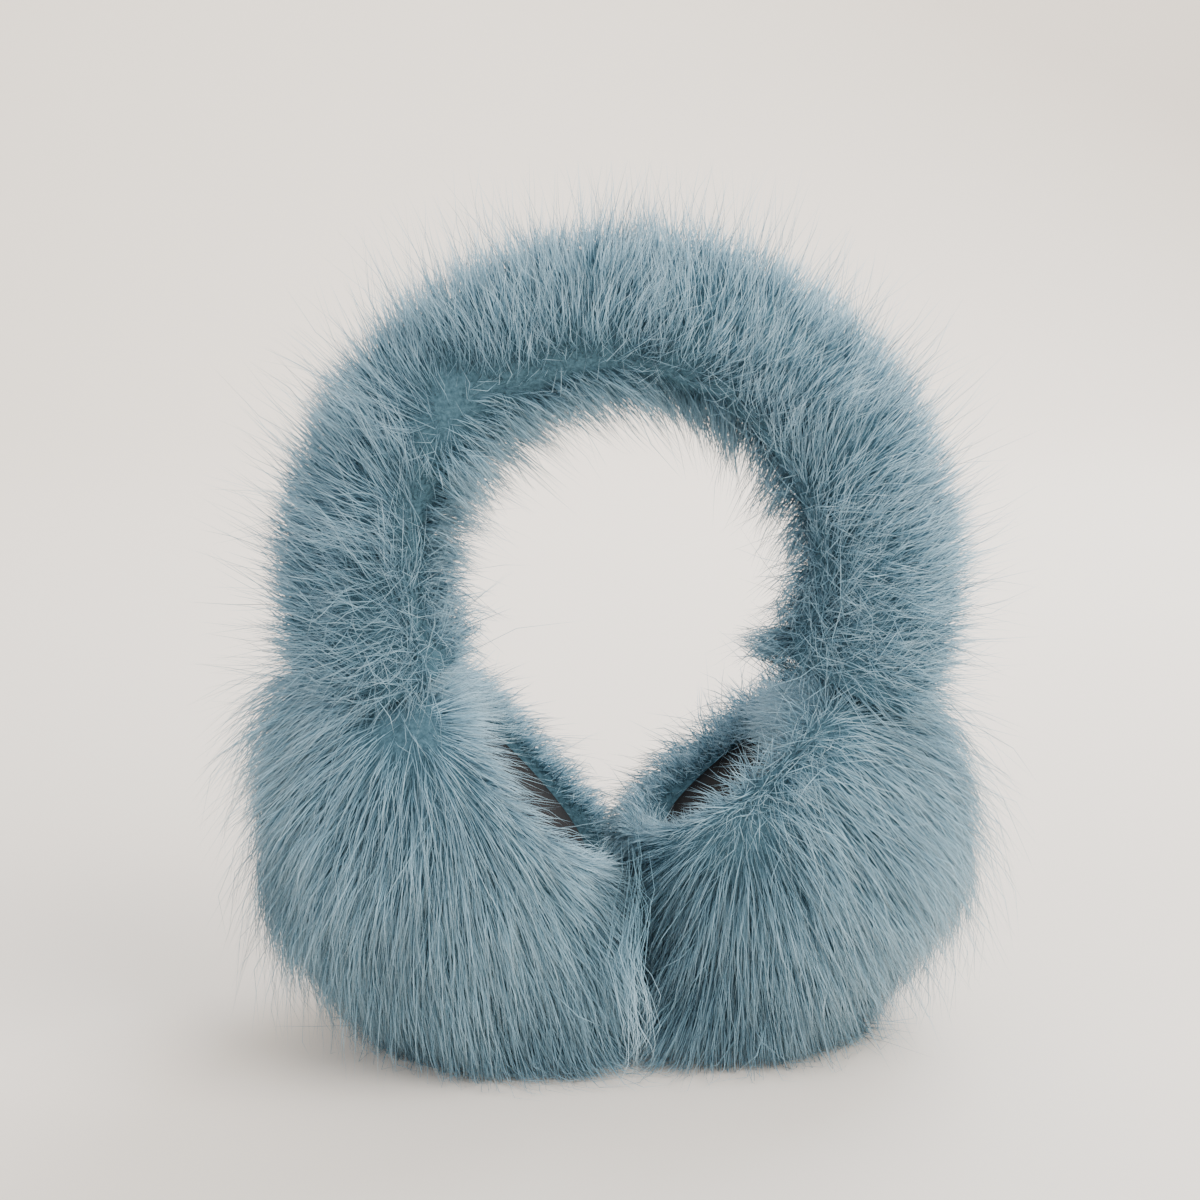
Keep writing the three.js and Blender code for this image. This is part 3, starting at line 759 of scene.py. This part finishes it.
def cup_fur(name, cup, half, counts, fur, material, seed):
    """Fur on the front or back half of an ear cup. Strands flow away from the whorl and hang; on the rim they
    stand out of the face, and inside the recess short ones lean over the lining."""
    rng = np.random.default_rng(seed)
    grid = cup_surface(cup)
    normals = grid_normals(grid, -cup["inward"])
    face, up, _ = cup_axes(cup)
    middle = np.array(cup["centre"])

    def keep(points):
        """Keeps one half of the cup, bare under the lining, thin at the foot and dense on the rim."""
        height = (points - middle) @ face
        radial = np.linalg.norm((points - middle) - height[..., None] * face, axis=-1)
        lining = (height < cup["floor"] + 4.0) & (radial < cup["floor_radius"] + 0.5) & (height > 5)
        low = np.clip((points[..., 2] - 2) / 8, 0.05, 1)
        far_rim = np.clip(height / cup["face"] * 5 - 3.6, 0, 1) * np.clip(points[..., 1] / 8, 0, 1)
        near_rim = np.clip(height / cup["face"] * 5 - 3.8, 0, 1) * np.clip(-points[..., 1] / 8, 0, 1)
        dense = low * (1 + 2.4 * far_rim + 1.2 * near_rim)
        return np.clip(0.5 - half * points[..., 1] * 0.5, 0, 1) * np.where(lining, 0, 1) * dense

    pieces = []
    for label, (count, steps, width_share) in counts.items():
        roots, normal = scatter(grid, normals, count, rng, keep)
        local = roots - middle
        height = local @ face
        radial_vector = local - height[:, None] * face
        radial = np.linalg.norm(radial_vector, axis=-1)
        radial_unit = unit(radial_vector)
        flow, distance = whorl_flow(roots, normal, cup, seed)

        # it leaves the pelt at a slant, turns back to it and hangs
        first = flow + normal * 0.5
        last = flow + normal * -0.22 + np.array([0, 0, -0.25])

        # on the rim it stands out of the face, at the back more than at the front
        rim = np.clip((height - cup["face"] * 0.55) / (cup["face"] * 0.4), 0, 1)[:, None]
        inside = ((radial + rng.normal(0, 0.9, count) < cup["crest"] - 0.4) & (height > 5))[:, None]
        behind = np.clip(0.5 + roots[:, 1:2] / 34, 0, 1)
        stand_back = face * 0.85 + radial_unit * 0.25 + flow * 0.4
        stand_front = face * 0.4 - radial_unit * 0.15 + flow * 0.85
        crest = np.exp(-(((radial - cup["crest"]) / 3.5) ** 2))[:, None] * (1 - behind)
        stand_front = stand_front + crest * (face * 0.45 + radial_unit * rng.normal(0, 0.45, (count, 1)))
        stand = stand_back * behind + stand_front * (1 - behind)
        first = first * (1 - rim) + stand * rim
        last = last * (1 - rim) + (stand + flow * 0.5) * rim

        # inside the rim short hair leans over the lining
        high = np.clip((local @ up - cup["bare"]) / 22, 0, 1)[:, None]
        over = face * (0.5 + 0.35 * behind) + radial_unit * (0.75 * behind - 0.75) + flow * (0.5 - 0.2 * behind)
        over = over - radial_unit * (0.6 * high * behind)
        over = over + crest * radial_unit * rng.normal(0.3, 0.45, (count, 1))
        first = np.where(inside, over, first)
        last = np.where(inside, over, last)

        # it is looser at the whorl, at the stars and on the far rim, and spreads at the foot
        star_flow, knot = disturb(roots, normal)
        first, last = first + star_flow, last + star_flow
        tangle = 0.8 * np.exp(-((distance / 14) ** 2))[:, None] + 1.4 * knot
        scatter_vector = rng.normal(0, 1, (count, 3))
        scatter_vector -= 0.8 * (scatter_vector * normal).sum(axis=-1, keepdims=True) * normal
        scatter_vector *= np.where(rng.random(count) < 0.1, 3.0, 1.0)[:, None]
        loose = 0.35 * tangle + 0.18 * behind * np.maximum(rim, inside)
        foot = np.clip(1 - roots[:, 2:3] / 30, 0, 1)
        last = last + foot * unit((roots - middle) * np.array([1, 1, 0])) * 0.4
        first = unit(first + scatter_vector * (0.08 + loose))
        last = unit(last + scatter_vector * (0.12 + 1.4 * loose))

        # it is cut shorter on the rim, and is a nap in the recess, longest over the lining's top
        upper = high[:, 0] * (1 - behind[:, 0])
        rim_cut = cup["rim_cut"] + (0.64 - cup["rim_cut"]) * behind[:, 0]
        cut = 1 - (rim_cut - 0.3 * upper) * rim[:, 0] ** 2
        length = fur.cup_pile * cut * rng.uniform(0.7, 1.25, count)
        short = fur.cup_pile * rng.uniform(0.12, 0.25, count)
        nap = cup["nap"] + (1.9 - cup["nap"] + 0.8 * high[:, 0]) * behind[:, 0]
        short = short * (nap + 2.2 * upper)
        length = np.where(inside[:, 0], short, length)
        length = length * (DOWN_LENGTH if steps == 1 else 1.0)
        guard = (rng.random(count) < fur.guard_share) & (steps > 1) & ~inside[:, 0]
        length = np.where(guard, length * rng.uniform(1.15, 1.5, count), length)
        first = np.where(guard[:, None], unit(first + normal * 0.35), first)
        last = np.where(guard[:, None], unit(last + normal * 0.2), last)
        path = comb(roots - normal * ROOT_DEPTH, first, last, length, steps, rng)
        pull = rng.uniform(0.0, 0.5, count) * np.where(guard, 0.2, 1)
        path, nearest = clump(path, rng, LOCK_SIZE, pull)
        path = trim(above_floor(path, rng))

        # locks differ in tone; painted shade darkens the foot by the table, and painted light makes the far rim paler
        tone = 0.5 + 0.07 * waves(roots, 24, seed + 4) + rng.normal(0, 0.17, count)
        tone += 0.09 * rng.normal(0, 1, count)[nearest]
        tone -= 0.34 * np.clip(1 - roots[:, 2] / 48, 0, 1)
        tone += 0.13 * behind[:, 0] * np.maximum(inside[:, 0], rim[:, 0])
        width = fur.strand_width * width_share * rng.uniform(0.7, 1.2, count) * np.where(guard, GUARD_WIDTH, 1)
        pieces.append(strand_object(f"{name}_{label}", path, width, tone, material))
    return pieces


def pad_surface(cup):
    """The lining pad's outline turned about the face axis: a front that is 4.9 mm high and falls by 1.2 s^3 towards
    the edge, a rounded edge, and a flat back just above the floor of the recess."""
    face, up, across = cup_axes(cup)
    edge = cup["floor_radius"] - 0.4
    top = np.linspace(0.02, 0.97, 26)
    share = np.concatenate([top, [0.99, 1.0, 1.0, 0.985], np.linspace(0.9, 0.02, 12)])
    height = np.concatenate([4.9 - 1.2 * top**3, [3.1, 2.4, 1.2, 0.6], np.full(12, 0.35)])
    around = np.linspace(0, 2 * math.pi, 64, endpoint=False)
    ring = np.cos(around)[:, None] * up + np.sin(around)[:, None] * across
    base = np.array(cup["centre"]) + (cup["floor"] + height)[:, None, None] * face
    return base + (share * edge)[:, None, None] * ring[None]


def contact_lock(name, fur, material):
    """The straggly lock where the two cups touch: long wavy strands that hang from their rims to the table."""
    rng = np.random.default_rng(77)
    count, steps = 46, 6
    s = np.linspace(0, 1, steps + 1)[None, :, None]
    top = np.array([1.2, -40.0, 58.0]) + rng.normal(0, 1, (count, 1, 3)) * np.array([1.2, 1.6, 8.0])
    foot = np.array([2.2, -49.0, 1.0]) + rng.normal(0, 1, (count, 1, 3)) * np.array([3.4, 2.4, 0.0])
    foot[..., 2] = rng.uniform(0.6, 24.0, (count, 1))
    wide = rng.normal(0, 1.7, (count, 1, 3)) * np.sin(math.pi * s)
    narrow = rng.normal(0, 1.2, (count, 1, 3)) * np.sin(2 * math.pi * s)
    shared_wave = np.array([1.6, 0.0, 0.0]) * np.sin(3 * math.pi * s)
    path = top + (foot - top) * s + wide + narrow + shared_wave
    tone = 0.66 + rng.normal(0, 0.17, count)
    width = fur.strand_width * rng.uniform(0.55, 0.95, count)
    return strand_object(name, trim(path), width, tone, material)


def tuft(name, root, tip, fur, material):
    """A shaggy tuft: strands from around the root that draw together towards the tip and curl a little."""
    rng = np.random.default_rng(78)
    count, steps = 230, 3
    s = np.linspace(0, 1, steps + 1)[None, :, None]
    start = np.array(root) + rng.normal(0, 1, (count, 1, 3)) * np.array([3.0, 3.2, 3.6])
    share = rng.uniform(0.45, 1.15, (count, 1, 1))
    end = start + (np.array(tip) + rng.normal(0, 2.2, (count, 1, 3)) - start) * share
    curl = rng.normal(0, 1.4, (count, 1, 3)) * np.sin(math.pi * s)
    tone = 0.46 + rng.normal(0, 0.16, count)
    width = fur.strand_width * rng.uniform(0.65, 1.1, count)
    return strand_object(name, start + (end - start) * s + curl, width, tone, material)


def join(name, pieces):
    """Joins pieces into the first and gives it the name."""
    if len(pieces) > 1:
        for piece in bpy.context.selected_objects:
            piece.select_set(False)
        for piece in pieces:
            piece.select_set(True)
        bpy.context.view_layer.objects.active = pieces[0]
        bpy.ops.object.join()
    pieces[0].name = name
    pieces[0].data.name = name
    return pieces[0]


def seat(piece, node):
    """Lets the piece ride on the one body and stand for its CAD node, which it hides."""
    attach(piece, "root")
    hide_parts(node)
    return piece


# ---- operators


class EARMUFFS_OT_headband(bpy.types.Operator):
    """Makes the padded headband and its combed fur"""

    bl_idname = "earmuffs.headband"
    bl_label = "Headband"

    def execute(self, context):
        fur = context.scene.earmuff_fur
        under = shared("dense_underfur", pelt_material, fur)
        pile = shared("modacrylic_long_pile", pile_material, fur)
        pelt = outward(grid_object("headband_pelt", band_surface(fur.band_pelt_radius), under))
        seat(pelt, "headband_fur")
        front = {"down": (9500, 1, 1.25), "under": (6500, 2, 1.0), "top": (3800, 3, 0.92)}
        back = {"down": (5600, 1, 1.5), "under": (4200, 2, 1.3), "top": (2200, 3, 1.2)}
        for label, half, counts, seed in (("front", 1, front, 21), ("back", -1, back, 31)):
            piece = band_fur(f"headband_pile_{label}", half, counts, fur, pile, seed)
            seat(piece, "headband_fur")
        return {"FINISHED"}


class EARMUFFS_OT_ear_cups(bpy.types.Operator):
    """Makes both padded ear cups and their combed fur"""

    bl_idname = "earmuffs.ear_cups"
    bl_label = "Ear cups"

    def execute(self, context):
        fur = context.scene.earmuff_fur
        under = shared("dense_underfur", pelt_material, fur)
        pile = shared("modacrylic_long_pile", pile_material, fur)
        for index, (side, cup) in enumerate(CUPS.items()):
            node = f"ear_cup_{side}"
            pelt = outward(grid_object(f"{node}_pelt", cup_surface(cup), under))
            seat(pelt, node)
            front = {"down": (9000, 1, 1.25), "under": (6800, 2, 1.0), "top": (3700, 3, 0.92)}
            back = {"down": (4800, 1, 1.5), "under": (4700, 2, 1.25), "top": (2000, 3, 1.2)}
            for label, half, counts, seed in (("front", 1, front, 41), ("back", -1, back, 61)):
                name = f"{node}_pile_{label}"
                layers = cup_fur(name, cup, half, counts, fur, pile, seed + 7 * index)
                if name == "ear_cup_left_pile_front":
                    layers.append(contact_lock("contact_lock", fur, pile))
                seat(join(name, layers), node)
        return {"FINISHED"}


class EARMUFFS_OT_ear_linings(bpy.types.Operator):
    """Makes the dark padded lining in each ear recess"""

    bl_idname = "earmuffs.ear_linings"
    bl_label = "Ear linings"

    def execute(self, context):
        fur = context.scene.earmuff_fur
        cloth = shared("brushed_polyester_jersey", lining_material, fur)
        for side, cup in CUPS.items():
            piece = outward(grid_object(f"ear_lining_{side}_pad", pad_surface(cup), cloth))
            seat(piece, f"ear_lining_{side}")
        return {"FINISHED"}


class EARMUFFS_OT_stage(bpy.types.Operator):
    """Makes the plain floor and backdrop, the soft lights and the camera"""

    bl_idname = "earmuffs.stage"
    bl_label = "Stage"

    def execute(self, context):
        stage = context.scene.earmuff_stage
        floor_material = stage_material("matt_floor_board", tuple(stage.floor_colour))

        # the floor runs level, bends up in a quarter circle of 0.6 m, and ends in the backdrop
        columns, level_rows, bend_radius = 25, 27, 0.6
        bend = np.linspace(0, 1, 13)[1:] * math.pi / 2
        run = np.concatenate([np.linspace(-1.6, 1.0, level_rows), 1.0 + bend_radius * np.sin(bend), [1.6]])
        rise = np.concatenate([np.zeros(level_rows), bend_radius - bend_radius * np.cos(bend), [3.0]])
        x, k = np.meshgrid(np.linspace(-2.4, 2.4, columns), np.arange(len(run)), indexing="xy")
        points = np.stack([x, run[k], rise[k]], axis=-1).reshape(-1, 3)
        i, j = np.meshgrid(np.arange(len(run) - 1), np.arange(columns - 1), indexing="ij")
        a = (i * columns + j).ravel()
        mesh = bpy.data.meshes.new("floor_sweep")
        mesh.from_pydata(points.tolist(), [], np.stack([a, a + 1, a + columns + 1, a + columns], axis=1).tolist())
        mesh.polygons.foreach_set("use_smooth", np.ones(len(mesh.polygons), dtype=bool))
        mesh.materials.append(floor_material)
        floor = bpy.data.objects.new("floor_sweep", mesh)
        context.scene.collection.objects.link(floor)

        # each light's name, place, aim, size, power and colour
        lights = (
            ("key", (0.75, -0.55, 0.95), (0.0, 0.0, 0.1), 0.9, stage.key_power, linear("fffaf4")),
            ("fill", (-0.9, -0.8, 0.6), (0.0, 0.0, 0.1), 1.1, stage.key_power * 0.3, linear("f3f6ff")),
            ("rim", (0.6, 0.8, 0.9), (0.0, 0.0, 0.12), 0.8, stage.key_power * 0.7, linear("f4f8ff")),
            ("wall", (0.0, 0.9, 1.5), (0.0, 1.7, 0.7), 1.6, stage.key_power * 1.1, linear("fff6ea")),
        )
        for name, place, aim, size, power, colour in lights:
            lamp = bpy.data.lights.new(name, "AREA")
            lamp.energy, lamp.size, lamp.color = power, size, colour
            holder = bpy.data.objects.new(name, lamp)
            context.scene.collection.objects.link(holder)
            direction = np.array(aim) - np.array(place)
            holder.location = place
            holder.rotation_euler = look_angles(direction)
        world = bpy.data.worlds.new("soft_room")
        world.use_nodes = True
        world.node_tree.nodes["Background"].inputs["Color"].default_value = (*stage.wall_colour, 1)
        world.node_tree.nodes["Background"].inputs["Strength"].default_value = 1.0
        context.scene.world = world

        camera = bpy.data.objects.new("camera", bpy.data.cameras.new("camera"))
        # the photo's camera: 3.5 degrees to the left of the front and 13.5 degrees above level
        camera.data.lens, camera.data.sensor_width = 71.25, 36.0
        camera.location = (-0.0454, -0.6563, 0.287)
        azimuth, elevation = math.radians(-3.5), math.radians(13.5)
        level = math.cos(elevation)
        forward = np.array([-math.sin(azimuth) * level, math.cos(azimuth) * level, -math.sin(elevation)])
        camera.rotation_euler = look_angles(forward)
        context.scene.collection.objects.link(camera)
        context.scene.camera = camera
        return {"FINISHED"}


def look_angles(direction):
    """Euler angles that point a lamp's or camera's -Z along direction, with its top kept up."""
    x, y, z = direction / np.linalg.norm(direction)
    return (math.acos(-z), 0.0, math.atan2(-x, y))


class EARMUFFS_PT_panel(bpy.types.Panel):
    """Lists the operators that build the earmuffs"""

    bl_idname = "EARMUFFS_PT_panel"
    bl_label = "Fur earmuffs"
    bl_space_type = "VIEW_3D"
    bl_region_type = "UI"
    bl_category = "Earmuffs"

    def draw(self, context):
        for operator in OPERATORS:
            self.layout.operator(operator.bl_idname)
        for group in (context.scene.earmuff_fur, context.scene.earmuff_stage):
            for key in group.__annotations__:
                self.layout.prop(group, key)


OPERATORS = (EARMUFFS_OT_headband, EARMUFFS_OT_ear_cups, EARMUFFS_OT_ear_linings, EARMUFFS_OT_stage)
CLASSES = (EarmuffFur, EarmuffStage, *OPERATORS, EARMUFFS_PT_panel)


def register():
    for item in CLASSES:
        bpy.utils.register_class(item)
    bpy.types.Scene.earmuff_fur = bpy.props.PointerProperty(type=EarmuffFur)
    bpy.types.Scene.earmuff_stage = bpy.props.PointerProperty(type=EarmuffStage)


def unregister():
    del bpy.types.Scene.earmuff_fur
    del bpy.types.Scene.earmuff_stage
    for item in reversed(CLASSES):
        bpy.utils.unregister_class(item)


def main():
    register()
    bpy.ops.earmuffs.headband()
    bpy.ops.earmuffs.ear_cups()
    bpy.ops.earmuffs.ear_linings()
    bpy.ops.earmuffs.stage()


if __name__ == "__main__":
    main()
